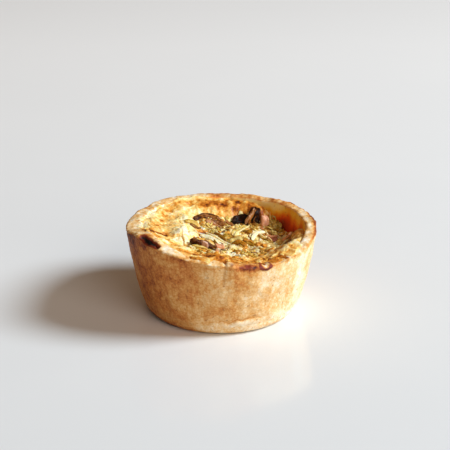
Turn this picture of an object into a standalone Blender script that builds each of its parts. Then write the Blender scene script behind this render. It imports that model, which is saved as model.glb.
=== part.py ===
"""A single deep quiche, 80 mm across: a shortcrust pastry cup, its baked egg
filling, and the mushroom, ham, onion and leek that lie on top.

Metres, +Z up. The origin is the middle of the flat underside. The filling is
sunken towards +X and +Y, the rim is low towards -Y and stands up at -X -Y.
Directions are in degrees round from +X, so the front is -90.
"""

import math

import bmesh
import bpy
import numpy as np
from mathutils import Vector
from mathutils.bvhtree import BVHTree

MM = 0.001

# The pastry cup, measured outside.
RIM_RADIUS = 40.0 * MM
RIM_HEIGHT = 36.5 * MM
FOOT_RADIUS = 33.2 * MM
FOOT_HEIGHT = 4.5 * MM
BASE_RADIUS = 29.0 * MM
WALL_CURVE = 0.68  # under 1, the wall bellies out above the foot
WALL_THICKNESS = 4.6 * MM
THICKER_ABOVE = 18.0 * MM  # height from which the swells of thickness set in
RIM_ROUND = 1.2 * MM
FLOOR_THICKNESS = 5.0 * MM
FLOOR_RADIUS = 26.0 * MM
SWELL_ABOVE = 10.0 * MM  # the rim's swells fade out down to this height
ROUND_STEPS = 80
INSIDE_ROWS = 8
OUTSIDE_ROWS = 10

# Broad swells as (direction, half width, height): degrees, degrees, metres.
RIM_SWELLS = (
    (-145, 20, 4.2 * MM),
    (-52, 34, -4.6 * MM),
    (85, 25, -0.7 * MM),
)
THICKNESS_SWELLS = ((-172, 48, 2.2 * MM),)
EDGE_SWELLS = (
    (180, 35, 1.4 * MM),
    (-145, 25, 2.6 * MM),
    (-45, 38, -3.2 * MM),
    (33, 20, -9.0 * MM),
)

# Relief of the pastry, as (size, height) of each layer of bumps.
RIM_CRAGS = ((7.0 * MM, 0.55 * MM), (3.4 * MM, 0.5 * MM))
WALL_BUMPS = ((14.0 * MM, 0.5 * MM), (5.0 * MM, 0.22 * MM))
BUMPS_FROM = (0.5 * MM, 6.0 * MM)  # heights over which the bumps set in
SEAM = (-88, 4, -0.7 * MM)  # where the rolled pastry meets itself, as a swell
SEAM_RANGE = (20.0 * MM, 34.0 * MM)

# The filling.
EDGE_LEVEL = 34.5 * MM
MIDDLE_LEVEL = 30.2 * MM
MIDDLE_SLOPE = (-0.13, -0.05)  # rise per metre along X and Y
MOUNDS = (  # (x, y), width, height: the big pale curd, the heap beside it, the risen edge
    ((-14.5 * MM, -1.5 * MM), 7.0 * MM, 1.4 * MM),
    ((-4.0 * MM, -8.0 * MM), 6.0 * MM, 0.8 * MM),
    ((25.5 * MM, -15.5 * MM), 8.0 * MM, 2.8 * MM),
)
# The unbroken skin stands as a ledge round the left of the vegetables.
LEDGE_MIDDLE = (8.0 * MM, -1.0 * MM)
LEDGE_RADII = (21.0 * MM, 24.5 * MM)
LEDGE_RISE = 1.5 * MM
LEDGE_FADE = (-4.0 * MM, 8.0 * MM)  # x over which the ledge fades out
MIDDLE_REACH = (23.0 * MM, 34.5 * MM)  # radii between which it climbs to the edge
CURDS = ((8.0 * MM, 1.1 * MM), (4.0 * MM, 0.6 * MM))
CURDS_TO = (30.0 * MM, 35.0 * MM)  # radii over which the curds fade out
TOP_RINGS = 16
SIDE_SHARES = (0.85, 0.6, 0.35, 0.12, 0.0)  # rows down the side, 1 at the top
SIDE_FROM = 6.0 * MM  # below this the side follows the cup's rounded floor
SIDE_TUCK = 2.5 * MM
NEST_DEPTH = 0.9 * MM  # how far the filling gives under a topping
NEST_MARGIN = 1.5 * MM
GAP = 0.3 * MM
REST_GAP = 0.35 * MM

# Toppings: three points on the line each lies along, its width and thickness.
# These positions and sizes are millimetres, from the centre.
MUSHROOMS = {
    "mushroom_back": dict(path=((6.6, 23.6), (11.6, 24.6), (16.4, 23.4)), wide=6.2, thick=3.9),
    "mushroom_middle": dict(path=((-11.9, 19.6), (-5.4, 22.6), (2.2, 18.4)), wide=4.4, thick=2.6),
    "mushroom_front": dict(path=((-12.8, -14.0), (-8.0, -12.6), (-3.4, -12.2)), wide=4.8, thick=2.8),
    "mushroom_side": dict(path=((4.3, -2.4), (7.2, -2.0), (10.0, -3.6)), wide=3.6, thick=2.0),
    "mushroom_cap": dict(path=((14.3, -2.8), (16.6, -2.0), (18.6, -2.6)), wide=3.4, thick=2.6),
}
ONION_SLICES = {
    "onion_slice_1": dict(path=((13.1, 3.0), (14.4, 11.0), (18.4, 13.4)), wide=2.8, thick=1.3),
    "onion_slice_2": dict(path=((-8.0, 4.0), (-3.4, -0.4), (2.6, -4.4)), wide=2.6, thick=1.1),
    "onion_slice_3": dict(path=((18.6, 1.6), (21.8, 1.6), (24.2, 4.2)), wide=2.8, thick=1.1),
}
LEEK_STRIPS = {
    "leek_strip_1": dict(path=((11.6, 19.4), (8.0, 12.4), (5.9, 4.6)), wide=2.2, thick=0.9),
    "leek_strip_2": dict(path=((-3.2, 5.0), (-0.6, 3.6), (1.8, 0.8)), wide=1.7, thick=0.9),
    "leek_strip_3": dict(path=((-15.2, 10.0), (-13.0, 12.2), (-10.4, 12.2)), wide=3.2, thick=1.0),
    "leek_strip_4": dict(path=((22.2, 22.6), (23.6, 18.2), (22.6, 13.8)), wide=2.4, thick=0.9),
    "leek_strip_5": dict(path=((26.6, 1.4), (28.2, -1.2), (28.6, -5.2)), wide=2.6, thick=0.9),
}
HAM_CUBES = {  # here the middle, the three sizes, and the turn and slope in degrees
    "ham_cube_1": dict(at=(18.9, 21.4), size=(3.1, 2.8, 5.0), turn=15, tilt=6),
    "ham_cube_2": dict(at=(21.6, 8.0), size=(4.9, 2.8, 1.9), turn=32, tilt=7),
    "ham_cube_3": dict(at=(-0.6, -9.4), size=(3.4, 2.4, 2.1), turn=14, tilt=0),
    "ham_cube_4": dict(at=(28.0, 5.6), size=(3.4, 2.4, 1.7), turn=-40, tilt=-8),
}
STRIP_WAVE = 0.25 * MM
ONION_CURL = 0.5 * MM
LEEK_CURL = 0.3 * MM

# Small chopped shreds of leek and onion, part of the filling's own skin.
SHRED_COUNT = 34
SHRED_SIZE = (5.2 * MM, 1.7 * MM, 1.5 * MM)
SHRED_SINK = 0.15 * MM
SHRED_BEND = 0.9
SHRED_REACH = 27.0 * MM
SHRED_CLEAR = 0.7 * MM
SHRED_APART = 3.2 * MM

COLOURS = {
    "pastry": ((0.76, 0.53, 0.29), 0.75),
    "filling": ((0.87, 0.68, 0.28), 0.45),
    "mushroom": ((0.16, 0.08, 0.04), 0.4),
    "ham": ((0.72, 0.40, 0.33), 0.4),
    "onion": ((0.87, 0.80, 0.56), 0.35),
    "leek": ((0.55, 0.53, 0.20), 0.4),
}


def clear_scene():
    for item in list(bpy.data.objects):
        bpy.data.objects.remove(item)


def material(name):
    """The named material, made the first time it is asked for."""
    found = bpy.data.materials.get(name)
    if found:
        return found
    colour, roughness = COLOURS[name]
    made = bpy.data.materials.new(name)
    made.use_nodes = True
    shader = made.node_tree.nodes["Principled BSDF"]
    shader.inputs["Base Color"].default_value = (*colour, 1.0)
    shader.inputs["Roughness"].default_value = roughness
    shader.inputs["Metallic"].default_value = 0.0
    return made


def smooth_step(low, high, value):
    """0 below low, 1 above high and an even S-curve between."""
    share = np.clip((value - low) / (high - low), 0.0, 1.0)
    return share * share * (3.0 - 2.0 * share)


def value_at(cells, seed):
    """A fixed random number, 0 to 1, for each whole-number cell."""
    mixed = cells.astype(np.uint32) * np.array([374761393, 668265263, 2246822519], np.uint32)
    mixed = mixed.sum(axis=-1, dtype=np.uint32) + np.uint32(seed * 3266489917 % 2**32)
    mixed = (mixed ^ (mixed >> np.uint32(13))) * np.uint32(1274126177)
    return ((mixed ^ (mixed >> np.uint32(16))) & np.uint32(0xFFFF)) / 65535.0


def bumps(points, size, seed):
    """Smooth bumps, -1 to 1, about size across, at an array of points."""
    scaled = np.asarray(points, float) / size
    cell = np.floor(scaled).astype(np.int64)
    blend = smooth_step(0.0, 1.0, scaled - cell)
    total = 0.0
    for corner in range(8):
        step = np.array([corner & 1, corner >> 1 & 1, corner >> 2])
        share = np.prod(np.where(step, blend, 1.0 - blend), axis=-1)
        total = total + share * value_at(cell + step, seed)
    return 2.0 * total - 1.0


def layered_bumps(points, layers, seed):
    """Bumps of several sizes added up, each layer given as (size, height)."""
    return sum(height * bumps(points, size, seed + n) for n, (size, height) in enumerate(layers))


def swell(directions, swells):
    """The sum of the bell-shaped swells at these directions, in degrees."""
    total = np.zeros_like(directions, float)
    for middle, half_width, height in swells:
        away = (directions - middle + 180.0) % 360.0 - 180.0
        total += height * np.exp(-((away / half_width) ** 2))
    return total


def wall_radius(height):
    """Outside radius of the pastry wall at a height above the foot."""
    share = np.maximum(height - FOOT_HEIGHT, 0.0) / (RIM_HEIGHT - FOOT_HEIGHT)
    return FOOT_RADIUS + (RIM_RADIUS - FOOT_RADIUS) * share**WALL_CURVE


def extra_thickness(degrees, height):
    """How much thicker than the rest the upper wall is in these directions."""
    return swell(degrees, THICKNESS_SWELLS) * smooth_step(THICKER_ABOVE, RIM_HEIGHT, height)


def inside_radius(height, degrees):
    """Radius of the inside of the cup at a height, in these directions."""
    return wall_radius(height) - WALL_THICKNESS - extra_thickness(degrees, height)


def turned_mesh(name, profile):
    """A mesh turned round Z from (radius, height) points, closed on the axis."""
    mesh = bpy.data.meshes.new(name)
    points = [(radius, 0.0, height) for radius, height in profile]
    mesh.from_pydata(points, [(n, n + 1) for n in range(len(points) - 1)], [])
    blank = bpy.data.objects.new(name + "_profile", mesh)
    bpy.context.scene.collection.objects.link(blank)
    screw = blank.modifiers.new("turn", "SCREW")
    screw.steps = screw.render_steps = ROUND_STEPS
    screw.use_merge_vertices = True
    screw.merge_threshold = 0.01 * MM
    graph = bpy.context.evaluated_depsgraph_get()
    turned = bpy.data.meshes.new_from_object(blank.evaluated_get(graph))
    turned.name = name
    bpy.data.objects.remove(blank)
    bpy.data.meshes.remove(mesh)
    return turned


def points_of(mesh):
    flat = np.empty(len(mesh.vertices) * 3, np.float32)
    mesh.vertices.foreach_get("co", flat)
    return flat.reshape(-1, 3).astype(float)


def set_points(mesh, points):
    mesh.vertices.foreach_set("co", points.astype(np.float32).ravel())
    mesh.update()


def add_piece(mesh, name, material_name, collection):
    """The object of a finished mesh, shaded smooth, in the quiche's collection."""
    mesh.shade_smooth()
    mesh.materials.clear()
    mesh.materials.append(material(material_name))
    piece = bpy.data.objects.new(name, mesh)
    collection.objects.link(piece)
    return piece


def crust_profile():
    """(radius, height) up the inside of the cup, over the rim and down the outside."""
    wall_top = RIM_HEIGHT - RIM_ROUND
    floor = [(radius, FLOOR_THICKNESS) for radius in np.linspace(0.0, FLOOR_RADIUS, 3)]
    inside = [
        (wall_radius(height) - WALL_THICKNESS, height)
        for height in np.linspace(FLOOR_THICKNESS + 1.0 * MM, wall_top, INSIDE_ROWS)
    ]
    half = WALL_THICKNESS / 2
    rim = [
        (RIM_RADIUS - half - half * math.cos(turn), wall_top + RIM_ROUND * math.sin(turn))
        for turn in np.radians((30, 70, 110, 150))
    ]
    outside = [
        (wall_radius(height), height)
        for height in np.linspace(wall_top, FOOT_HEIGHT, OUTSIDE_ROWS)
    ]
    corner = [
        (
            BASE_RADIUS + (FOOT_RADIUS - BASE_RADIUS) * math.cos(turn),
            FOOT_HEIGHT * (1.0 - math.sin(turn)),
        )
        for turn in np.radians((30, 60))
    ]
    base = [(radius, 0.0) for radius in np.linspace(BASE_RADIUS, 0.0, 3)]
    return floor + inside + rim + outside + corner + base


def make_crust(collection):
    """The pastry cup, with its uneven rim, bumpy wall and seam pressed in."""
    mesh = turned_mesh("crust", crust_profile())
    points = points_of(mesh)
    radius = np.hypot(points[:, 0], points[:, 1])
    height = points[:, 2]
    heading = np.arctan2(points[:, 1], points[:, 0])
    degrees = np.degrees(heading)
    compass = np.column_stack([np.cos(heading), np.sin(heading)])
    depth = wall_radius(height) - radius  # from the outer face, inwards
    on_wall = radius > FLOOR_RADIUS - 1.0 * MM

    # The rim rises and dips: the upper wall is stretched with it, keeping its slope.
    lift = swell(degrees, RIM_SWELLS) * smooth_step(SWELL_ABOVE, RIM_HEIGHT, height)
    at_top = smooth_step(RIM_HEIGHT - 3.0 * MM, RIM_HEIGHT - 0.5 * MM, height)
    crags = layered_bumps(np.column_stack([compass * RIM_RADIUS, radius]), RIM_CRAGS, 11)
    raised = height + (lift + crags * at_top) * on_wall
    radius = radius + (wall_radius(raised) - wall_radius(height)) * on_wall
    share_in = smooth_step(1.0 * MM, WALL_THICKNESS, depth) * on_wall
    radius = radius - extra_thickness(degrees, raised) * share_in

    # Only the outside is bumpy: the inside stays true, to fit the filling.
    outside = 1.0 - smooth_step(0.5 * MM, 3.0 * MM, depth)
    outside *= smooth_step(*BUMPS_FROM, height)
    bump = layered_bumps(np.column_stack([compass * RIM_RADIUS, height]), WALL_BUMPS, 21)
    seam = swell(degrees, (SEAM,)) * smooth_step(*SEAM_RANGE, height)
    radius = radius + (bump + seam) * outside
    set_points(mesh, np.column_stack([compass * radius[:, None], raised]))
    return add_piece(mesh, "crust", "pastry", collection)


def path_points(spec, share):
    """Points in plan a share of the way along a topping, and the way across there."""
    start, middle, end = (np.array(point) * MM for point in spec["path"])
    share = share[:, None]
    weights = (
        (1.0 - share) * (1.0 - 2.0 * share),
        4.0 * share * (1.0 - share),
        share * (2.0 * share - 1.0),
    )
    points = weights[0] * start + weights[1] * middle + weights[2] * end
    along = (4.0 * share - 3.0) * start + (4.0 - 8.0 * share) * middle + (4.0 * share - 1.0) * end
    across = np.column_stack([-along[:, 1], along[:, 0]])
    return points, across / np.linalg.norm(across, axis=1, keepdims=True)


def spots_under_toppings():
    """(points in plan, half width) of everything that lies on the filling."""
    found = []
    for group in (MUSHROOMS, ONION_SLICES, LEEK_STRIPS):
        for spec in group.values():
            points, _ = path_points(spec, np.linspace(0.0, 1.0, 9))
            found.append((points, spec["wide"] * MM / 2))
    for spec in HAM_CUBES.values():
        found.append((np.array([spec["at"]]) * MM, max(spec["size"][:2]) * MM / 2))
    return found


def distance_to(points, spots):
    """Distance in plan of each point from the nearest of the spots."""
    return np.linalg.norm(points[:, None] - spots, axis=2).min(axis=1)


def filling_height(plan):
    """Height of the filling's top at an array of (x, y) points."""
    degrees = np.degrees(np.arctan2(plan[:, 1], plan[:, 0]))
    radius = np.hypot(plan[:, 0], plan[:, 1])
    edge = EDGE_LEVEL + swell(degrees, EDGE_SWELLS)
    middle = MIDDLE_LEVEL + plan @ np.array(MIDDLE_SLOPE)
    climb = smooth_step(*MIDDLE_REACH, radius)
    flat_points = np.column_stack([plan, 0.0 * radius])
    curds = layered_bumps(flat_points, CURDS, 31) * (1.0 - smooth_step(*CURDS_TO, radius))
    height = edge * climb + middle * (1.0 - climb) + curds
    in_plan = np.linalg.norm(plan - np.array(LEDGE_MIDDLE), axis=1)
    ledge = smooth_step(*LEDGE_RADII, in_plan) * (1.0 - smooth_step(*LEDGE_FADE, plan[:, 0]))
    height = height + LEDGE_RISE * ledge * (1.0 - climb)
    for spot, width, rise in MOUNDS:
        height = height + rise * np.exp(-np.sum((plan - spot) ** 2, axis=1) / width**2)
    for spots, half_width in spots_under_toppings():
        away = distance_to(plan, spots) / (half_width + NEST_MARGIN)
        height = height - NEST_DEPTH * np.exp(-(away**2))
    return height


def make_filling(collection):
    """The baked filling: it reaches the cup's floor and wall, and its top is lumpy."""
    rings = [(share, 1.0) for share in np.linspace(0.0, 1.0, TOP_RINGS)]
    side = [(1.0, share) for share in SIDE_SHARES]
    under = [(0.5, 0.0), (0.0, 0.0)]
    mesh = turned_mesh("filling", rings + side + under)
    unit = points_of(mesh)
    share_out = np.hypot(unit[:, 0], unit[:, 1])
    heading = np.arctan2(unit[:, 1], unit[:, 0])
    compass = np.column_stack([np.cos(heading), np.sin(heading)])
    degrees = np.degrees(heading)
    inner_radius = inside_radius(EDGE_LEVEL + swell(degrees, EDGE_SWELLS), degrees) - GAP
    top = filling_height(compass * (share_out * inner_radius)[:, None])
    bottom = FLOOR_THICKNESS + GAP
    height = bottom + (top - bottom) * unit[:, 2]
    inner_radius = inside_radius(np.maximum(height, SIDE_FROM), degrees) - GAP
    inner_radius -= SIDE_TUCK * (1.0 - smooth_step(0.0, SIDE_SHARES[-2], unit[:, 2]))
    plan = compass * (share_out * inner_radius)[:, None]
    set_points(mesh, np.column_stack([plan, height]))
    return add_piece(mesh, "filling", "filling", collection)


def ground_under(piece):
    """A function from (x, y) to the height of a piece's top there."""
    graph = bpy.context.evaluated_depsgraph_get()
    tree = BVHTree.FromObject(piece, graph)

    def height_at(x, y):
        hit = tree.ray_cast(Vector((x, y, 1.0)), Vector((0.0, 0.0, -1.0)))[0]
        return hit.z

    return height_at


def make_shred(size, spot, ground, turn):
    """One chopped shred: a little bent strip, pointed at both ends, half sunk in."""
    shape = bmesh.new()
    bmesh.ops.create_uvsphere(shape, u_segments=6, v_segments=6, radius=0.5)
    mesh = bpy.data.meshes.new("shred")
    shape.to_mesh(mesh)
    shape.free()
    unit = points_of(mesh)[:, (2, 0, 1)]
    sized = unit * size
    sized[:, 1] += size[0] * SHRED_BEND * unit[:, 0] ** 2
    across = np.array([-math.sin(turn), math.cos(turn)])
    along = np.array([math.cos(turn), math.sin(turn)])
    plan = spot + sized[:, :1] * along + sized[:, 1:2] * across
    under = np.array([ground(*point) for point in plan])
    set_points(mesh, np.column_stack([plan, under + sized[:, 2] - SHRED_SINK]))
    return bpy.data.objects.new("shred", mesh)


def fuse_shreds(filling):
    """Joins the small chopped shreds of leek and onion on to the filling."""
    taken = spots_under_toppings()
    ground = ground_under(filling)
    random = np.random.default_rng(7)
    loose = bpy.data.collections.new("shreds")
    bpy.context.scene.collection.children.link(loose)
    placed = []
    while len(placed) < SHRED_COUNT:
        reach = SHRED_REACH * math.sqrt(random.random())
        heading = random.random() * math.tau
        spot = np.array([reach * math.cos(heading), reach * math.sin(heading)])
        turn = random.random() * math.tau
        size = np.array(SHRED_SIZE) * (0.7 + 0.5 * random.random())
        clear = [distance_to(spot[None], spots)[0] - wide for spots, wide in taken]
        apart = [np.linalg.norm(spot - other) for other in placed]
        if min(clear) < size[0] / 2 + SHRED_CLEAR or min(apart, default=1.0) < SHRED_APART:
            continue
        placed.append(spot)
        loose.objects.link(make_shred(size, spot, ground, turn))

    union = filling.modifiers.new("join shreds", "BOOLEAN")
    union.operation = "UNION"
    union.operand_type = "COLLECTION"
    union.collection = loose
    graph = bpy.context.evaluated_depsgraph_get()
    joined = bpy.data.meshes.new_from_object(filling.evaluated_get(graph))
    filling.modifiers.clear()
    filling.data = joined
    for shred in list(loose.objects):
        bpy.data.objects.remove(shred)
    bpy.data.collections.remove(loose)


def make_mushroom(name, spec, ground, collection, seed):
    """A cooked slice: a soft lump drawn out along its line, flat to the filling."""
    shape = bmesh.new()
    bmesh.ops.create_uvsphere(shape, u_segments=14, v_segments=8, radius=1.0)
    mesh = bpy.data.meshes.new(name)
    shape.to_mesh(mesh)
    shape.free()
    unit = points_of(mesh)
    middle, across = path_points(spec, 0.5 + 0.5 * unit[:, 0])
    uneven = 1.0 + 0.25 * bumps(unit, 0.8, seed)
    plan = middle + across * (unit[:, 1] * uneven * spec["wide"] * MM / 2)[:, None]
    rise = (0.5 + 0.5 * unit[:, 2]) * (1.0 + 0.3 * bumps(unit, 0.6, seed + 1))
    under = np.array([ground(*spot) for spot in plan])
    height = under + REST_GAP + np.maximum(rise, 0.0) * spec["thick"] * MM
    set_points(mesh, np.column_stack([plan, height]))
    return add_piece(mesh, name, "mushroom", collection)


def make_strip(name, spec, ground, collection, material_name, curl):
    """A slice of onion or leek: a flat slab, bent to its line and laid on the filling."""
    shape = bmesh.new()
    bmesh.ops.create_grid(shape, x_segments=10, y_segments=3, size=1.0)
    bmesh.ops.triangulate(shape, faces=shape.faces)
    bmesh.ops.solidify(shape, geom=shape.faces, thickness=1.0)
    mesh = bpy.data.meshes.new(name)
    shape.to_mesh(mesh)
    shape.free()
    unit = points_of(mesh)
    layer = unit[:, 2] - unit[:, 2].min()
    middle, across = path_points(spec, 0.5 + 0.5 * unit[:, 0])
    taper = 1.0 - 0.55 * np.abs(unit[:, 0]) ** 3
    plan = middle + across * (unit[:, 1] * taper * spec["wide"] * MM / 2)[:, None]
    under = np.array([ground(*spot) for spot in plan])
    wave = STRIP_WAVE * (1.0 + np.sin(unit[:, 0] * 5.0))
    height = under + REST_GAP + curl * unit[:, 1] ** 2 + wave + layer * spec["thick"] * MM
    set_points(mesh, np.column_stack([plan, height]))
    return add_piece(mesh, name, material_name, collection)


def make_ham(name, spec, ground, collection):
    """A small cube of ham with softened edges, let down until it rests."""
    shape = bmesh.new()
    bmesh.ops.create_cube(shape, size=1.0)
    bmesh.ops.subdivide_edges(shape, edges=shape.edges, cuts=2, use_grid_fill=True)
    mesh = bpy.data.meshes.new(name)
    shape.to_mesh(mesh)
    shape.free()
    unit = points_of(mesh)
    corner = np.linalg.norm(unit, axis=1, keepdims=True)
    rounded = unit * (1.0 - 0.25 * smooth_step(0.5, 0.87, corner))
    sized = rounded * np.array(spec["size"]) * MM
    turn, tilt = math.radians(spec["turn"]), math.radians(spec["tilt"])
    sized[:, 2] += sized[:, 0] * math.tan(tilt)
    plan = sized[:, :2] @ np.array(
        [[math.cos(turn), math.sin(turn)], [-math.sin(turn), math.cos(turn)]]
    )
    plan += np.array(spec["at"]) * MM
    under = np.array([ground(*spot) for spot in plan])
    height = sized[:, 2] + np.max(under - sized[:, 2]) + REST_GAP
    set_points(mesh, np.column_stack([plan, height]))
    return add_piece(mesh, name, "ham", collection)


def stand_on_origin(pieces):
    """Puts the middle of the crust's outline over the origin, by one parent."""
    crust = points_of(pieces[0].data)
    middle = (crust.min(axis=0) + crust.max(axis=0)) / 2
    stand = bpy.data.objects.new("quiche_origin", None)
    bpy.context.scene.collection.objects.link(stand)
    stand.location = (-middle[0], -middle[1], 0.0)
    for piece in pieces:
        piece.parent = stand


def main():
    clear_scene()
    quiche = bpy.data.collections.new("quiche")
    bpy.context.scene.collection.children.link(quiche)
    crust = make_crust(quiche)
    filling = make_filling(quiche)
    fuse_shreds(filling)
    ground = ground_under(filling)
    pieces = [crust, filling]
    for seed, (name, spec) in enumerate(MUSHROOMS.items(), 41):
        pieces.append(make_mushroom(name, spec, ground, quiche, seed))
    for name, spec in HAM_CUBES.items():
        pieces.append(make_ham(name, spec, ground, quiche))
    for name, spec in ONION_SLICES.items():
        pieces.append(make_strip(name, spec, ground, quiche, "onion", ONION_CURL))
    for name, spec in LEEK_STRIPS.items():
        pieces.append(make_strip(name, spec, ground, quiche, "leek", LEEK_CURL))
    stand_on_origin(pieces)


main()
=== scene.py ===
import math

import bpy
import numpy as np
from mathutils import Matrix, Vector


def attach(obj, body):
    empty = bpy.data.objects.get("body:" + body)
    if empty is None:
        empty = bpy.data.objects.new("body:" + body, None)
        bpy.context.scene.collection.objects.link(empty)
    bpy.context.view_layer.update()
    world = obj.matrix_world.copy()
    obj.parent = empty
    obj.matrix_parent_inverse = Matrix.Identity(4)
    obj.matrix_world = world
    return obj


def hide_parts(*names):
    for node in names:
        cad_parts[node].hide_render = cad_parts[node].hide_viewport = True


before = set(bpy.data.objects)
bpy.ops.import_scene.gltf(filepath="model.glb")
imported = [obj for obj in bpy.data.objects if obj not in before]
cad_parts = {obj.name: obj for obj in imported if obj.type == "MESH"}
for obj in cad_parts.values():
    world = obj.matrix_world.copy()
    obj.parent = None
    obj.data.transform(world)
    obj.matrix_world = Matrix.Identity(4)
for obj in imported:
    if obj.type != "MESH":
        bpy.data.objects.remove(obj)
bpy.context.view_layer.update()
mm = 0.001  # shapes are worked out in millimetres round the pastry's own axis
print("frame loaded:", len(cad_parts), "nodes")

# the flat underside, as the part has it
foot = np.array([vertex.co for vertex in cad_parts["crust"].data.vertices])
foot = foot[foot[:, 2] < foot[:, 2].min() + 0.01 * mm]
axis = (foot.min(axis=0) + foot.max(axis=0)) / 2  # where the pastry was turned


def smoothStep(low, high, value):
    # s = (value - low) / (high - low) held in 0..1, then s * s * (3 - 2 s); falls where low > high
    share = np.clip((value - low) / (high - low), 0, 1)
    return share * share * (3 - 2 * share)


def bell(value, halfWidth):
    # exp(-(value / half width)^2)
    return np.exp(-((value / halfWidth) ** 2))


def withHeight(plan, height):
    # (x, y) with a height as (x, y, height)
    return np.concatenate([plan, (height + 0 * plan[..., 0])[..., None]], -1)


def polar(plan):
    # direction in degrees, distance from the axis, and the points at height 0
    degrees = np.degrees(np.arctan2(plan[..., 1], plan[..., 0]))
    return degrees, np.hypot(plan[..., 0], plan[..., 1]), withHeight(plan, 0)


def turnedFrom(direction, degrees):
    # degrees - direction, brought into -180..180
    return (degrees - direction + 180) % 360 - 180


def cellValue(cells, seed):
    # a fixed number 0..1 for every whole-number cell, by mixing its bits
    mixed = cells.astype(np.uint32) * np.array([374761393, 668265263, 2246822519], np.uint32)
    mixed = mixed.sum(axis=-1, dtype=np.uint32) + np.uint32(seed * 3266489917 % 2**32)
    mixed = (mixed ^ (mixed >> np.uint32(13))) * np.uint32(1274126177)
    return ((mixed ^ (mixed >> np.uint32(16))) & np.uint32(0xFFFF)) / 65535


def bumps(points, size, seed):
    # smooth bumps -1..1: the eight corner values of each cell, blended by an S-curve
    scaled = np.asarray(points, float) / size
    cell = np.floor(scaled).astype(np.int64)
    blend = smoothStep(0, 1, scaled - cell)
    total = 0
    for corner in range(8):
        step = np.array([corner & 1, corner >> 1 & 1, corner >> 2])
        share = np.prod(np.where(step, blend, 1 - blend), axis=-1)
        total = total + share * cellValue(cell + step, seed)
    return 2 * total - 1


def layered(points, layers, seed):
    # the sum of height * bumps over layers of (size, height)
    return sum(height * bumps(points, size, seed + n) for n, (size, height) in enumerate(layers))


def lumps(points, size, seed):
    # one random spot in each cell: distance to the nearest, to the next, its tone and the way from it
    scaled = np.asarray(points, float) / size
    home = np.floor(scaled).astype(np.int64)
    nearest = np.full(scaled.shape[:-1], 9.0)
    following = nearest.copy()
    tone = np.zeros_like(nearest)
    offset = np.zeros_like(scaled)
    for n in range(27):
        cell = home + (n % 3, n // 3 % 3, n // 9) - 1
        spot = cell + np.stack([cellValue(cell, seed + k) for k in range(3)], axis=-1)
        away = np.linalg.norm(scaled - spot, axis=-1)
        closer = away < nearest
        following = np.where(closer, nearest, np.minimum(following, away))
        tone = np.where(closer, cellValue(cell, seed + 3), tone)
        offset = np.where(closer[..., None], scaled - spot, offset)
        nearest = np.minimum(nearest, away)
    return nearest, following, tone, offset


def shards(plan, size, stretch, heading, seed):
    # broken slabs: cells drawn out along a heading, each tilted its own way and set at its own
    # height; gives the height, the slab's tone 0..1 and how far its edge is
    along = np.array([math.cos(heading), math.sin(heading)])
    across = plan[..., 1] * along[0] - plan[..., 0] * along[1]
    turned = withHeight(np.stack([plan @ along / stretch, across], -1), 0)
    nearest, following, tone, offset = lumps(turned, size, seed)
    tilt = 40 * tone
    height = offset[..., 0] * np.cos(tilt) + offset[..., 1] * np.sin(tilt) + (tone * 17) % 1 - 0.5
    return height, (tone * 29) % 1, following - nearest


def swell(degrees, swells):
    # the sum of height * exp(-(degrees away / half width)^2)
    total = np.zeros_like(degrees, float)
    for middle, halfWidth, height in swells:
        total = total + height * bell(turnedFrom(middle, degrees), halfWidth)
    return total


def patch(plan, spots):
    # the sum of strength * exp(-(x / half width)^2 - (y / half depth)^2) round each spot
    total = np.zeros(plan.shape[:-1])
    for x, y, halfX, halfY, strength in spots:
        away = ((plan[..., 0] - x) / halfX) ** 2 + ((plan[..., 1] - y) / halfY) ** 2
        total = total + strength * np.exp(-away)
    return total


def wallPatch(degrees, level, spots, sharpness=1):
    # the sum of strength * exp(-(x^2 + z^2)^sharpness) round each spot on the wall
    total = 0 * level
    for direction, height, halfTurn, halfHeight, strength in spots:
        away = (turnedFrom(direction, degrees) / halfTurn) ** 2 + ((level - height) / halfHeight) ** 2
        total = total + strength * np.exp(-away ** sharpness)
    return total


def closeRings(rings, tips):
    # corner (row, side) joins (row, side + 1) and (row + 1, side); a tip closes each end
    count, rows, sides, _ = rings.shape
    points = np.concatenate([rings.reshape(count, -1, 3), tips], axis=1)
    here = np.arange(rows * sides).reshape(rows, sides)
    after = np.roll(here, -1, axis=1)
    first = np.full(sides, here.size)
    quads = np.stack([here[:-1], after[:-1], after[1:], here[1:]], -1)
    fans = np.array([[first, after[0], here[0]], [first + 1, here[-1], after[-1]]]).swapaxes(1, 2)
    start = np.arange(count)[:, None, None] * (here.size + 2)
    faces = []
    for part in (quads.reshape(-1, 4), fans.reshape(-1, 3)):
        faces += (part + start).reshape(-1, part.shape[1]).tolist()
    return points.reshape(-1, 3), faces


def addObject(name, data):
    made = bpy.data.objects.new(name, data)
    bpy.context.scene.collection.objects.link(made)
    return made


def addPiece(name, rings, tips, marks, finish, node=""):
    # marks are named numbers per ring corner; a tip takes the mean of its ring
    points, faces = closeRings(rings, tips)
    mesh = bpy.data.meshes.new(name)
    mesh.from_pydata((points * mm + (axis[0], axis[1], 0)).tolist(), [], faces)
    mesh.shade_smooth()
    for key, value in marks.items():
        value = np.broadcast_to(value, rings.shape[:3])
        ends = np.stack([value[:, 0].mean(axis=1), value[:, -1].mean(axis=1)], axis=1)
        whole = np.concatenate([value.reshape(len(rings), -1), ends], axis=1)
        layer = mesh.attributes.new(key, "FLOAT", "POINT")
        layer.data.foreach_set("value", whole.astype(np.float32).ravel())
    mesh.materials.append(finish)
    piece = addObject(name, mesh)
    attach(piece, "root")
    if node:
        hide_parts(node)
    return piece


def paint(red, green, blue):
    # screen value 0..255 to linear: ((c + 0.055) / 1.055) ^ 2.4
    share = np.array([red, green, blue]) / 255
    return (*(((share + 0.055) / 1.055) ** 2.4).tolist(), 1)


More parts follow.
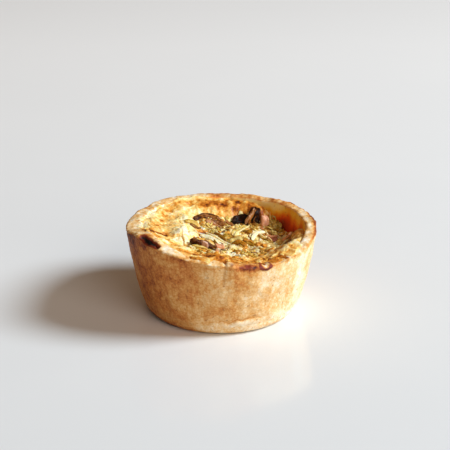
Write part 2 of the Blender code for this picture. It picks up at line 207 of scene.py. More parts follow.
def addNode(kind, inputs, tree=None, **settings):
    # in the tree of the sockets that it is given, or in the named one
    linked = {key: value for key, value in inputs.items() if isinstance(value, bpy.types.NodeSocket)}
    for value in linked.values():
        tree = value.id_data
    made = tree.nodes.new(kind)
    for key, value in settings.items():
        setattr(made, key, value)
    for key, value in inputs.items():
        if key in linked:
            tree.links.new(value, made.inputs[key])
        else:
            made.inputs[key].default_value = value
    return made


def newFinish(name, roughness, specular, soft=0, softDepth=1):
    finish = bpy.data.materials.new(name)
    finish.use_nodes = True
    shader = finish.node_tree.nodes["Principled BSDF"]
    shader.inputs["Roughness"].default_value = roughness
    shader.inputs["Specular IOR Level"].default_value = specular
    shader.inputs["Subsurface Weight"].default_value = soft
    shader.inputs["Subsurface Radius"].default_value = (1, 0.55, 0.25)
    shader.inputs["Subsurface Scale"].default_value = softDepth * mm
    return finish, shader


def mark(finish, name):
    return addNode("ShaderNodeAttribute", {}, finish.node_tree, attribute_name=name).outputs["Fac"]


def places(finish, stretch=(1, 1, 1)):
    coordinates = addNode("ShaderNodeTexCoord", {}, finish.node_tree).outputs["Object"]
    return addNode("ShaderNodeMapping", {"Vector": coordinates, "Scale": stretch}).outputs[0]


def grain(vector, size, seed, detail=2):
    # noise with features about size millimetres across
    inputs = {"Vector": vector, "W": float(seed), "Scale": 1 / (size * mm), "Detail": detail}
    return addNode("ShaderNodeTexNoise", inputs, noise_dimensions="4D").outputs["Fac"]


def compute(operation, first, second, third=0):
    inputs = {0: first, 1: second, 2: third}
    return addNode("ShaderNodeMath", inputs, operation=operation).outputs[0]


def addShare(base, noise, amount):
    # base + (noise - 0.5) * amount
    centred = compute("MULTIPLY_ADD", noise, amount, -0.5 * amount)
    return compute("ADD", base, centred)


def between(value, low, high):
    inputs = {"Value": value, "From Min": low, "From Max": high}
    return addNode("ShaderNodeMapRange", inputs, interpolation_type="SMOOTHSTEP").outputs[0]


def ramp(value, stops):
    # each stop: place, red, green, blue; the first two are the ends
    made = addNode("ShaderNodeValToRGB", {"Fac": value})
    elements = made.color_ramp.elements
    for n, (position, *colour) in enumerate(stops):
        element = elements[n] if n < 2 else elements.new(position)
        element.position = position
        element.color = paint(*colour)
    return made.outputs["Color"]


def blendColour(share, first, second):
    # first * (1 - share) + second * share
    inputs = {0: share, 6: first, 7: second}
    return addNode("ShaderNodeMix", inputs, data_type="RGBA").outputs[2]


def connect(shader, key, value):
    shader.id_data.links.new(value, shader.inputs[key])


def relief(shader, height, depth, strength):
    inputs = {"Height": height, "Distance": depth * mm, "Strength": strength}
    connect(shader, "Normal", addNode("ShaderNodeBump", inputs).outputs[0])


pastry = dict(
    rimRadius=40, rimHeight=36.5, footRadius=33.2, footHeight=4.5, baseRadius=29,
    wallCurve=0.68, wall=4.6, thickerAbove=18, rimRound=1.2, floor=5, floorRadius=26,
    rimSwells=((-145, 20, 4.2), (-52, 34, -4.6), (85, 25, -0.7)),
    thickSwells=((-172, 48, 2.2),),
    rimCrags=((7, 0.5), (3.4, 0.24)), rimFlat=0.6,
    wallBumps=((14, 0.5), (5, 0.2)),
    seam=(-88, 4, -0.6),
    sides=640,
)


def wallRadius(height):
    # foot radius + flare * (share of the way up) ^ wall curve
    flare = pastry["rimRadius"] - pastry["footRadius"]
    share = np.maximum(height - pastry["footHeight"], 0)
    share = share / (pastry["rimHeight"] - pastry["footHeight"])
    return pastry["footRadius"] + flare * share ** pastry["wallCurve"]


def extraWall(degrees, height):
    # the swells * the S-curve of the height: the upper wall is thicker on the left
    rise = smoothStep(pastry["thickerAbove"], pastry["rimHeight"], height)
    return swell(degrees, pastry["thickSwells"]) * rise


def insideRadius(height, degrees):
    # outside radius - wall - extra wall
    return wallRadius(height) - pastry["wall"] - extraWall(degrees, height)


def sideways(way):
    # a quarter turn to the left: (x, y) to (-y, x)
    return np.stack([-way[..., 1], way[..., 0]], -1)


def compassPoints(degrees):
    # (cos, sin) of the direction
    return np.stack([np.cos(np.radians(degrees)), np.sin(np.radians(degrees))], axis=-1)


def pastryProfile():
    # base outwards, round the foot, up the outside, over the rim, down inside, floor
    p = pastry
    wallTop = p["rimHeight"] - p["rimRound"]
    base = np.linspace(3, p["baseRadius"], 6)
    corner = np.radians(np.linspace(82, 6, 10))
    up = np.linspace(p["footHeight"], wallTop, 74)
    over = np.radians(np.linspace(172, 8, 18))
    down = np.concatenate([np.linspace(wallTop, 24, 26), np.linspace(21, 6, 6)])
    floor = np.linspace(p["floorRadius"], 3, 4)
    radius = np.concatenate([
        base,
        p["baseRadius"] + (p["footRadius"] - p["baseRadius"]) * np.cos(corner),
        wallRadius(up),
        p["rimRadius"] - p["wall"] / 2 * (1 + np.cos(over)),
        wallRadius(down) - p["wall"],
        floor,
    ])
    height = np.concatenate([
        0 * base,
        p["footHeight"] * (1 - np.sin(corner)),
        up,
        wallTop + p["rimRound"] * np.sin(over) ** p["rimFlat"],
        down,
        0 * floor + p["floor"],
    ])
    return radius[:, None], height[:, None]


burns = (  # direction, height above the base, half widths in degrees and mm, strength
    (-138.2, 40.1, 6.2, 1.8, 1.8), (-131.6, 38.8, 3.4, 0.9, 0.9), (-143.5, 40.6, 3.4, 0.6, 0.8),
    (-75, 33.3, 5, 0.9, 0.7), (-51.5, 33.4, 2.2, 0.8, 0.75), (-84, 34.4, 3, 0.5, 0.5),
    (150, 36.8, 2.2, 0.8, 0.5), (118, 36.4, 2.4, 0.8, 0.45),
)
# among these, (-150, 1, ...) is painted shade at the left foot where it meets the floor, and (-33, 24, ...)
# is a painted highlight on the lit right of the wall
bakeAndLightPatches = (  # the same numbers: browner, or paler where the strength is below 0
    (-144, 36, 12, 5, -0.04), (-142, 41.2, 8, 0.7, 0.22), (-141, 36.8, 5.5, 1.6, 0.16),
    (-123.5, 38.6, 5, 1.6, -0.14), (-112.5, 36.4, 4, 3, 0.2), (-122, 35.4, 7, 1.5, 0.05),
    (-108, 34, 9, 2, 0.05), (-95.5, 34.9, 5, 0.9, -0.3), (-99, 33.2, 6, 1.2, 0.1), (-79, 31, 8, 4, 0.15),
    (-72, 32.6, 9, 1, 0.14), (-76, 22, 6, 7, 0.08), (-84, 13, 9, 4, 0.04), (-100, 16, 7, 6, -0.05),
    (-45, 32, 9, 2.5, -0.06), (-155, 33, 9, 9, 0.06), (-165, 36, 9, 2, 0.14), (-38, 17, 5, 5, 0.1),
    (-57, 24, 6, 6, -0.08), (-18, 12, 7, 7, 0.08), (12, 37, 12, 1.6, 0.2), (37, 36, 5, 3, 0.28),
    (52, 36, 4, 3, 0.16), (70, 36, 5, 3, 0.06), (96, 36, 7, 3, 0.12), (28, 36, 3, 3, 0.16),
    (-150, 1, 34, 1.6, 0.34), (-120, 8, 9, 3, 0.07), (-33, 24, 4, 9, -0.09), (-60, 5, 10, 3, 0.08),
)


bakeAndLightSwells = dict(  # direction, half width, how much darker
    # sides: painted shade, browner over the left of the wall, which faces away from the lamps (-150), and
    # painted light, paler over the lit right (-24)
    sides=((-150, 36, 0.24), (-24, 28, -0.18), (-92, 10, -0.04), (-68, 12, -0.06), (95, 60, 0.06)),
    edge=((-104, 20, 0.04), (-70, 16, 0.16), (10, 34, 0.2), (-165, 12, 0.12), (90, 60, 0.08)),
    top=((-100, 16, 0.02), (-66, 16, 0.16), (-124, 6, -0.06), (176, 34, -0.08), (-35, 18, -0.1),
         (15, 30, -0.06), (122, 22, -0.04), (75, 34, 0.11)),
    topEdge=((12, 40, 0.9), (-100, 14, -0.2)), topGroove=((4, 20, 1),),
    # inside and insideTop: painted light, paler at the back of the inner wall (about 60 to 66 degrees),
    # which lies in shade; insideLow: painted shade, darker low on the inner wall at the right
    inside=((0, 20, -0.04), (66, 22, -0.32)), insideLow=((36, 16, 0.19),),
    insideTop=((62, 18, 0.22), (14, 20, 0.04)),
)


def makePastry(finish):
    p, b = pastry, bakeAndLightSwells
    radius, height = pastryProfile()
    degrees = np.linspace(-180, 180, p["sides"], endpoint=False) + 0 * height
    compass = compassPoints(degrees)
    radius, height = radius + 0 * degrees, height + 0 * degrees
    depth = wallRadius(height) - radius
    onWall = radius > p["floorRadius"] - 1

    # the rim rises and dips, and the upper wall is stretched with it
    lift = swell(degrees, p["rimSwells"]) * smoothStep(10, p["rimHeight"], height)
    atTop = smoothStep(p["rimHeight"] - 3, p["rimHeight"] - 0.5, height)
    crags = layered(withHeight(compass * p["rimRadius"], radius), p["rimCrags"], 11)
    raised = height + (lift + crags * atTop) * onWall
    radius = radius + (wallRadius(raised) - wallRadius(height)) * onWall
    radius = radius - extraWall(degrees, raised) * smoothStep(1, p["wall"], depth) * onWall
    outside = smoothStep(3, 0.5, depth) * smoothStep(0.5, 6, height)
    around = withHeight(compass * p["rimRadius"], height)
    bump = layered(around, p["wallBumps"], 21)
    seamDent = swell(degrees, (p["seam"],)) * smoothStep(20, 34, height)
    radius = radius + (bump + seamDent) * outside

    # fine relief, along the surface's own normal
    points = withHeight(compass * radius[..., None], raised)
    alongRow = np.roll(points, -1, axis=1) - np.roll(points, 1, axis=1)
    normal = np.cross(alongRow, np.gradient(points, axis=0))
    normal /= np.linalg.norm(normal, axis=-1, keepdims=True) + 1e-9
    atRim = smoothStep(33, 35.6, height)
    topFace = smoothStep(35.35, 36, height)
    inner = smoothStep(3.2, 4.4, depth)
    crumb = layered(points, ((2.4, 0.09), (1.3, 0.09), (0.8, 0.05)), 51)
    rough = layered(points, ((4.4, 0.22), (2.3, 0.2), (1.1, 0.12)), 61)
    rough = rough * (1 + 0.7 * bumps(points, 9, 65))
    leaves = layered(points * (0.35, 0.35, 1.6), ((1.5, 0.15), (0.9, 0.1)), 71)
    near, _, tone, _ = lumps(points, 3.6, 81)
    pits = -0.16 * (tone > 0.72) * smoothStep(0.3, 0.05, near)
    blisters = 0.1 * (tone < 0.2) * smoothStep(0.45, 0, near)
    fine = crumb * (1 - 0.6 * inner) + (pits + blisters) * (1 - inner)
    fine += rough * atRim * (1 - 0.6 * inner) + 0.7 * leaves * atRim * (1 - inner)
    drawn = layered(points * (1, 1, 0.5), ((4, 0.35), (1.8, 0.22)), 75)
    fine += drawn * inner * (1 - topFace)

    # a lap of the rolled dough at the front, and the cracked ledge under it
    wave = 1.2 * bumps(around * (0, 0, 1), 5, 91)
    pastSeam = degrees - p["seam"][0] - wave
    seamShare = smoothStep(24, 31, height) * (1 - inner)
    fine += seamShare * (0.4 * smoothStep(0, 1.6, pastSeam) * smoothStep(14, 2, pastSeam))
    fine -= seamShare * 0.3 * bell(pastSeam, 0.9)
    ragged = layered(around * (1, 1, 0), ((4, 1), (1.7, 0.5)), 95)
    ledge = swell(degrees, ((-82, 13, 1), (-70, 10, 0.3)))
    ledgeLine = 6.9 + 0.055 * (degrees + 86) + ragged
    fine -= ledge * 0.55 * bell(raised - ledgeLine, 0.6) * (depth < 2)
    fine += ledge * 0.3 * bell(raised - ledgeLine + 1.9, 1.3) * (depth < 2)

    # burnt hollows at the top edge
    scorch = wallPatch(degrees, raised, burns, 1.5) * smoothStep(3, 1.2, depth)
    scorch = scorch * (1 + 0.5 * bumps(points, 1.6, 99))
    fine -= 1.7 * smoothStep(0.45, 1.3, scorch)
    # the burst bubble: a dark raised ring with a pale middle
    bubble = np.hypot((degrees + 62.6) * 0.66, (raised - 32.5) * 1.3 + (depth - 0.6) * 0.5)
    ring = bell(bubble - 2.3, 1) * atRim
    fine += 0.35 * ring - 0.4 * bell(bubble, 1.3) * atRim
    scorch = scorch + 0.74 * ring * (1 + 0.8 * bumps(points, 2.2, 101))

    standing = smoothStep(0, 1.5, raised) * onWall
    points = points + normal * (fine * standing)[..., None]
    points[..., 2] = np.maximum(points[..., 2], 0)

    # how dark it is baked: 0 raw cream, 0.5 biscuit, 1 nearly burnt; the same number also carries painted
    # shade and painted light: browner over the shaded left of the wall and at its left foot, paler over the
    # lit right, paler at the back of the inner wall and darker low on its right
    broad = layered(points, ((13, 0.06), (6, 0.08), (3.2, 0.07)), 103)
    broad = broad + wallPatch(degrees, raised, bakeAndLightPatches)
    wallBakeAndPaintedLight = 0.465 + broad + swell(degrees, b["sides"]) - 0.12 * smoothStep(11, 4, raised)
    wallBakeAndPaintedLight -= 0.14 * ledge * bell(raised - ledgeLine + 1.6, 1.5)
    wallBakeAndPaintedLight += 0.2 * ledge * bell(raised - ledgeLine, 0.4)
    edgeBake = swell(degrees, b["edge"]) + 0.12 * bumps(points, 4, 105)
    # the darker line along the seam is painted shade in its crease
    wallBakeAndPaintedLight += edgeBake * smoothStep(33.6, 35.6, height) + 0.06 * seamShare * bell(pastSeam, 0.8)
    topBake = 0.42 + 0.6 * broad + swell(degrees, b["top"])
    topBake += 0.16 * bumps(points, 3.2, 107) + 0.16 * bumps(points, 1.5, 109)
    topBake += 0.34 * smoothStep(1.5, 0.4, depth) * (0.25 + swell(degrees, b["topEdge"]))
    topBake -= 0.22 * bell(depth - 3, 1) * swell(degrees, b["topGroove"])
    # the inner wall is darker towards the bottom; its swells add painted light at the back and painted shade
    # low on the right
    innerBakeAndPaintedLight = 0.4 + 0.22 * smoothStep(35.5, 28, raised) + 0.07 * bumps(points, 6, 111)
    innerBakeAndPaintedLight += swell(degrees, b["insideLow"]) * smoothStep(36, 27, raised)
    innerBakeAndPaintedLight -= swell(degrees, b["insideTop"]) * smoothStep(32, 35, raised)
    innerBakeAndPaintedLight += swell(degrees, b["inside"]) + 0.12 * bumps(points * (1, 1, 0.4), 2.6, 113)
    bakeAndPaintedLight = wallBakeAndPaintedLight * (1 - topFace) * (1 - inner) + innerBakeAndPaintedLight * inner * (1 - topFace)
    bakeAndPaintedLight += topBake * topFace * (1 - inner * (1 - atTop)) - 0.35 * bell(bubble, 1.3) * atRim
    tips = [[[0, 0, 0], [0, 0, p["floor"]]]]
    bakeAndPaintedLight, scorch = np.clip(bakeAndPaintedLight, 0.02, 0.98), np.clip(scorch, 0, 1.3)
    marks = dict(bakeAndPaintedLight=bakeAndPaintedLight, burn=scorch, glaze=inner * (1 - 0.9 * topFace))
    return addPiece("pastryCup", points[None], tips, marks, finish, "crust")


def makePastryFinish():
    finish, shader = newFinish("bakedShortcrust", roughness=0.62, specular=0.32, soft=0.06, softDepth=1)
    where = places(finish)
    streaks = places(finish, (1, 1, 0.3))
    fine = grain(where, 0.8, 1, 4)
    middle = grain(where, 2.2, 2, 2)
    drawn = grain(streaks, 1.3, 3, 2)
    crackle = addNode("ShaderNodeTexVoronoi", {"Vector": where, "Scale": 1 / (1.5 * mm)},
                      feature="DISTANCE_TO_EDGE").outputs["Distance"]
    glaze = mark(finish, "glaze")
    rougher = compute("MULTIPLY_ADD", glaze, -0.7, 1)
    spread = addShare(0, fine, 0.38)
    spread = addShare(spread, middle, 0.34)
    spread = addShare(spread, drawn, 0.24)
    spread = addShare(spread, between(crackle, 0, 0.22), -0.06)
    tone = compute("MULTIPLY_ADD", spread, rougher, mark(finish, "bakeAndPaintedLight"))
    colour = ramp(tone, (
        (0, 252, 242, 226), (1, 50, 18, 4), (0.2, 247, 226, 192), (0.36, 236, 195, 136),
        (0.5, 220, 160, 86), (0.64, 199, 121, 50), (0.8, 152, 73, 20), (0.9, 98, 38, 8)))
    glazed = ramp(tone, (
        (0, 255, 226, 150), (1, 80, 26, 0), (0.3, 255, 194, 58), (0.44, 246, 140, 14),
        (0.58, 230, 84, 0), (0.7, 200, 58, 0), (0.8, 158, 44, 0), (0.9, 112, 36, 0)))
    colour = blendColour(glaze, colour, glazed)
    pits = between(grain(where, 1.4, 6, 1), 0.665, 0.73)
    pits = compute("MULTIPLY", pits, 0.5)
    colour = blendColour(pits, colour, paint(150, 84, 40))
    scorch = addShare(mark(finish, "burn"), middle, 0.7)
    colour = blendColour(between(scorch, 0.22, 0.62), colour, paint(126, 44, 18))
    colour = blendColour(between(scorch, 0.66, 1.1), colour, paint(14, 4, 2))
    connect(shader, "Base Color", colour)
    height = addShare(compute("MULTIPLY", fine, 0.6), grain(where, 0.35, 7, 1), 0.5)
    relief(shader, height, 0.3, 0.5)
    return finish


filling = dict(
    edgeLevel=34.5, middleLevel=30.2, middleSlope=(-0.13, -0.05),
    edgeSwells=((180, 35, 1.4), (-145, 25, 2.6), (-45, 38, -3.2), (33, 20, -9)),
    mounds=((-14.5, -1.5, 7, 7, 1.4), (-4, -8, 6, 6, 0.8), (25.5, -15.5, 8, 8, 2.8)),
    ledgeMiddle=(8, -1), ledgeRadii=(21, 24.5), ledgeRise=1.5, ledgeFade=(-4, 8),
    middleReach=(23, 34.5), curds=((8, 1.1), (4, 0.6)), curdsTo=(30, 35),
    nestDepth=0.9, nestMargin=1.5, gap=0.3, sides=600, rings=128, lipRows=7,
    # the skin that has run out over the rim: direction, half width, width
    lipSwells=((-102, 15, 4.6), (-72, 16, 2.6), (-42, 22, 3), (176, 32, 3.4), (118, 24, 1.5)),
    slopeSwells=((-34, 24, 3.5), (-95, 26, 2.4), (176, 34, 2)),
    lipToast=((-109, 10, 0.2), (-68, 14, 0.14), (-30, 20, -0.04), (176, 34, -0.2), (-124, 6, -0.24),
              (-95, 8, -0.05), (120, 20, -0.22)),
    reachSwells=((36, 34, 7), (92, 30, -1.6), (-42, 16, -1.8), (-80, 18, 1.2)),
)
# what lies on it: three points in plan and the width, as in the solids
toppings = dict(
    mushroomBack=((6.6, 23.6), (11.6, 24.6), (16.4, 23.4), 6.2),
    mushroomMiddle=((-11.9, 19.6), (-5.4, 22.6), (2.2, 18.4), 4.4),
    mushroomFront=((-12.8, -14), (-8, -12.6), (-3.4, -12.2), 4.8),
    mushroomSide=((4.3, -2.4), (7.2, -2), (10, -3.6), 3.6),
    mushroomCap=((14.3, -2.8), (16.6, -2), (18.6, -2.6), 3.4),
    onionOne=((13.1, 3), (14.4, 11), (18.4, 13.4), 2.8),
    onionTwo=((-8, 4), (-3.4, -0.4), (2.6, -4.4), 2.6),
    onionThree=((18.6, 1.6), (21.8, 1.6), (24.2, 4.2), 2.8),
    leekOne=((11.6, 19.4), (8, 12.4), (5.9, 4.6), 2.2),
    leekTwo=((-3.2, 5), (-0.6, 3.6), (1.8, 0.8), 1.7),
    leekThree=((-15.2, 10), (-13, 12.2), (-10.4, 12.2), 3.2),
    leekFour=((22.2, 22.6), (23.6, 18.2), (22.6, 13.8), 2.4),
    leekFive=((26.6, 1.4), (28.2, -1.2), (28.6, -5.2), 2.6),
    hamOne=((18.9, 21.4),) * 3 + (3.1,),
    hamTwo=((21.6, 8),) * 3 + (4.9,),
    hamThree=((-0.6, -9.4),) * 3 + (3.4,),
    hamFour=((28, 5.6),) * 3 + (3.4,),
)


def pathThrough(start, middle, end, share):
    # start (1 - t)(1 - 2t) + middle 4t(1 - t) + end t(2t - 1), and its direction
    t = np.asarray(share)[..., None]
    point = (1 - t) * (1 - 2 * t) * start + 4 * t * (1 - t) * middle + t * (2 * t - 1) * end
    along = (4 * t - 3) * start + (4 - 8 * t) * middle + (4 * t - 1) * end
    return point, along / (np.linalg.norm(along, axis=-1, keepdims=True) + 1e-9)


def fillingTop(plan):
    # edge level blended to the sloping middle, + curds + ledge + mounds - nests
    f = filling
    degrees, radius, flat = polar(plan)
    edge = f["edgeLevel"] + swell(degrees, f["edgeSwells"])
    middle = f["middleLevel"] + plan @ f["middleSlope"]
    climb = smoothStep(*f["middleReach"], radius)
    curds = layered(flat, f["curds"], 31) * (1 - smoothStep(*f["curdsTo"], radius))
    away = np.linalg.norm(plan - f["ledgeMiddle"], axis=-1)
    ledge = smoothStep(*f["ledgeRadii"], away) * (1 - smoothStep(*f["ledgeFade"], plan[..., 0]))
    height = edge * climb + middle * (1 - climb) + curds
    height = height + f["ledgeRise"] * ledge * (1 - climb) + patch(plan, f["mounds"])
    for start, bend, end, wide in toppings.values():
        spots, _ = pathThrough(start, bend, end, np.linspace(0, 1, 9))
        gap = np.linalg.norm(plan[..., None, :] - spots, axis=-1).min(axis=-1)
        height = height - f["nestDepth"] * bell(gap, wide / 2 + f["nestMargin"])
    return height


def vegetableShare(plan):
    # 1 where the skin is broken and the vegetables lie open, 0 on the skin
    degrees, radius, flat = polar(plan)
    reach = 25 + swell(degrees, filling["reachSwells"]) + 1.2 * bumps(flat, 4, 201)
    left = -10.2 + 1.6 * bumps(flat, 6, 203) - 0.012 * plan[..., 1] ** 2 * (plan[..., 1] < 0)
    return smoothStep(1.2, -1.2, radius - reach) * smoothStep(-1, 1, plan[..., 0] - left)


palePlaces = (  # x, y, half widths, strength: the big broken curd and smaller ones
    (-15.5, -4, 6.5, 9.5, 1.1), (-16, 15, 4, 8.5, 0.85), (-22, 8, 4, 4, 0.3), (-29.8, 17.6, 3.2, 4.2, 1),
    (-17.5, -12.6, 4.6, 3.6, 0.8), (-13, 24, 4, 3, 0.5), (-31.5, 2, 2.6, 10, 0.75),
)
# (28, -9, ...) is painted light: paler custard on the right, where its top slopes away from the lamps
toastAndLightPlaces = (  # the same numbers: browner skin, or paler below 0
    (-26, -9.4, 4.6, 2.6, 0.62), (-31.5, -11, 2.6, 2, 0.4), (-19, 28, 3, 3, 0.24), (-25, 14.5, 3, 3, 0.14),
    (-27, 6, 7, 9, 0.11), (-20, 18, 6, 5, 0.05), (-3, -31.4, 5, 2.6, 0.34), (8, -29, 4, 2.6, -0.12),
    (28, -9, 4.5, 7, -0.2), (31.4, -16.6, 3, 3, 0.22), (-4, 29, 8, 4, 0.16), (9, 30, 8, 3, 0.2),
    (-18.6, -4.6, 1.6, 3, 0.16), (-20, 31, 5, 3, -0.1), (-13, -23, 5, 3, -0.12), (20.5, -28, 3, 3, 0.2),
)
# these hollows are also painted darker: painted shade in the cracks between the pieces
creviceShadePlaces = (  # the same numbers: cracks and holes between the pieces
    (-7.4, 6.2, 2, 1.2, 1.5), (-29.6, -14.8, 2.2, 1, 0.9), (-12, -17.2, 2.4, 0.9, 1.3),
    (-2.4, -16.2, 4.4, 0.9, 1.4), (5, -15.6, 2.6, 0.9, 1.4), (7.6, -19.6, 0.9, 0.9, 1.4),
    (-23.4, -6.4, 1.6, 0.7, 0.8), (-23.5, -9, 0.8, 0.8, 0.7), (-16, -16, 1.6, 0.6, 0.6),
    (17.6, 8.8, 0.9, 1.4, 0.9), (11.6, -6.4, 2.4, 0.7, 0.6), (12, -15, 1.8, 0.9, 1),
    (1.2, -9, 1.4, 0.7, 0.7), (22.6, 13.5, 2, 2.2, 0.5), (9.5, 15, 1.2, 2.4, 0.6),
)


def rimTop(degrees, radius):
    # the rim's top without its crumbs = wall top + round * (1 - x^2)^(flat / 2) + swells + crags
    p = pastry
    half = (p["wall"] + extraWall(degrees, 36)) / 2
    x = np.clip((radius - p["rimRadius"] + half) / half, -1, 1)
    level = p["rimHeight"] - p["rimRound"] + p["rimRound"] * (1 - x ** 2) ** (p["rimFlat"] / 2)
    around = withHeight(p["rimRadius"] * compassPoints(degrees + 0 * radius), radius)
    return level + swell(degrees, p["rimSwells"]) + layered(around, p["rimCrags"], 11)


def lipWidth(degrees):
    # how far the custard has run out over the rim, ragged
    around = withHeight(38 * compassPoints(degrees), 0)
    width = swell(degrees, filling["lipSwells"])
    return 0.3 + width * (1 + 0.22 * bumps(around, 5, 271) + 0.25 * bumps(around, 2.2, 273))


def fillingSurface(plan):
    # the solids' top + small relief, and its colour marks
    degrees, radius, flat = polar(plan)
    warped = plan + 0.45 * np.stack([bumps(flat, 1.9, 211), bumps(flat, 1.9, 213)], -1)
    warpedFlat = withHeight(warped, 0)
    openShare = vegetableShare(plan)
    pale = np.clip(patch(warped, palePlaces), 0, 1) * (1 - openShare)
    skin = (1 - openShare) * (1 - pale)
    dark = patch(plan, creviceShadePlaces)

    # three kinds of ground: broken curd, blistered skin, and the chopped heap
    grainy = layered(flat, ((1.7, 0.2), (1, 0.17), (0.65, 0.1)), 263)
    curdHeight, curdTone, curdEdge = shards(warped, 5.2, 1.25, 1.1, 221)
    curdCrack = smoothStep(0.16, 0, curdEdge)
    fold, _, foldTone, _ = lumps(warpedFlat, 3, 225)
    small, _, smallTone, _ = lumps(warpedFlat, 1.9, 231)
    blister = (0.42 - small) * (0.25 + 0.55 * smallTone) * (1 + swell(degrees, ((-40, 24, 0.9),)))
    heapHeight, heapTone, heapEdge = shards(warped, 3, 1.9, -0.9, 241)
    chipHeight, chipTone, chipEdge = shards(warped, 1.35, 1.5, -0.5, 251)
    strand = withHeight(plan @ [[0.19, 0.72], [-0.2, 0.69]], 0)
    strand = np.clip(1 - 2.6 * np.abs(bumps(strand, 1.05, 255)), 0, 1)
    heapCrack = smoothStep(0.16, 0, heapEdge)
    chipCrack = smoothStep(0.14, 0, chipEdge)
    curdLift = 0.45 + 0.55 * curdHeight - 0.3 * curdCrack + 0.7 * grainy
    curdLift = curdLift + 0.8 * (0.5 - fold) * (0.4 + foldTone)
    skinLift = 0.72 * blister + 0.36 * bumps(flat, 3.6, 261) + grainy
    heapLift = 0.75 * heapHeight + 0.45 * chipHeight + 0.8 * grainy
    heapLift += 0.35 * strand - 0.4 * heapCrack - 0.2 * chipCrack
    height = pale * curdLift + skin * skinLift + openShare * heapLift - 1.1 * dark
    bank = swell(degrees, ((-36, 22, 1), (-96, 26, 0.7))) * smoothStep(22, 26, radius)
    height += bank * (1 - 0.5 * openShare)

    toastAndPaintedLight = 0.44 + 0.1 * bumps(flat, 7, 271) + patch(plan, toastAndLightPlaces)
    toastAndPaintedLight += skin * (0.14 * bumps(flat, 3.4, 273) + 0.18 * bumps(flat, 1.7, 274) - 0.34 * (skinLift - 0.1))
    orange = (smallTone > 0.62) * smoothStep(0.75, 0.2, small) * (1 - 0.5 * (plan[..., 1] > 22))
    toastAndPaintedLight += 0.2 * skin * orange
    toastAndPaintedLight += skin * smoothStep(23, 29, radius) * swell(degrees, ((-90, 34, 0.08), (-30, 20, -0.06)))
    # the cracks between curd slabs and between heap slabs are painted browner: painted shade
    toastAndPaintedLight = toastAndPaintedLight * (1 - pale) + pale * (0.12 + 0.1 * curdTone + 0.26 * curdCrack - 0.22 * grainy)
    heapToast = 0.36 + 0.34 * (heapTone - 0.5) + 0.26 * (chipTone - 0.5) + 0.2 * heapCrack + 0.12 * chipCrack
    heapToast -= 0.16 * strand
    # 0.52 * dark is painted shade in the cracks and holes
    toastAndPaintedLight = toastAndPaintedLight * (1 - openShare) + openShare * heapToast + 0.52 * dark
    herb = openShare * (0.15 + 0.75 * smoothStep(0.35, 0.75, (heapTone * 3.7 + 0.2 * chipTone) % 1))
    herb += 0.12 * pale * smoothStep(0, 0.6, bumps(flat, 3.4, 275)) + 0.12 * skin
    return fillingTop(plan) + height, toastAndPaintedLight, herb


def makeFilling(finish):
    f = filling
    degrees = np.linspace(-180, 180, f["sides"], endpoint=False)[None, :]
    compass = compassPoints(degrees)
    # up the side, in over the lip on the rim, then rings to the middle
    lip, top = np.zeros(f["lipRows"]), np.zeros(f["rings"])
    out = np.concatenate([[0.5], np.ones(5), lip + 1, np.linspace(1, 0.004, f["rings"])])[:, None]
    up = np.concatenate([[0, 0, 0.12, 0.35, 0.6, 0.85], lip + 1, top + 1])[:, None]
    lipShare = np.concatenate([np.zeros(6), np.linspace(1, 1 / f["lipRows"], f["lipRows"]), top])[:, None]
    inner = insideRadius(f["edgeLevel"] + swell(degrees, f["edgeSwells"]), degrees)
    lip = lipWidth(degrees)
    reach = out * inner + lipShare * lip
    top, toastAndPaintedLight, herb = fillingSurface(compass * (out * inner)[..., None])
    # the lip lies on the rim and thins to nothing; just inside it the custard climbs to it
    running = smoothStep(0.3, 1.5, lip) + 0 * reach
    skin = 0.4 * (1 - lipShare ** 2) - 0.35 * lipShare
    skin = skin + layered(withHeight(compass * reach[..., None], 0), ((2.8, 0.35), (1.3, 0.25)), 281)
    onRim = np.maximum(rimTop(degrees, reach) + skin, top - 0.5)
    climbed = smoothStep(0, 1, 1 + (reach - inner) / (3.6 + swell(degrees, f["slopeSwells"]))) * (up > 0.9)
    top = top + (onRim - top) * running * np.where(lipShare > 0, 1, climbed)
    toastAndPaintedLight = toastAndPaintedLight + running * smoothStep(-1.5, 1.5, reach - inner) * swell(degrees, f["lipToast"])
    bottom = pastry["floor"] + f["gap"]
    height = bottom + (top - bottom) * up
    side = insideRadius(np.maximum(height, 6), degrees) - f["gap"] - 2.5 * smoothStep(0.12, 0, up)
    reach = np.where(up > 0.9, reach, out * side)
    points = withHeight(compass * reach[..., None], height)
    tips = [[[0, 0, bottom], points[-1].mean(axis=0)]]
    marks = dict(toastAndPaintedLight=np.clip(toastAndPaintedLight, 0, 1), herb=np.clip(herb, 0, 1))
    return addPiece("bakedEgg", points[None], tips, marks, finish, "filling")


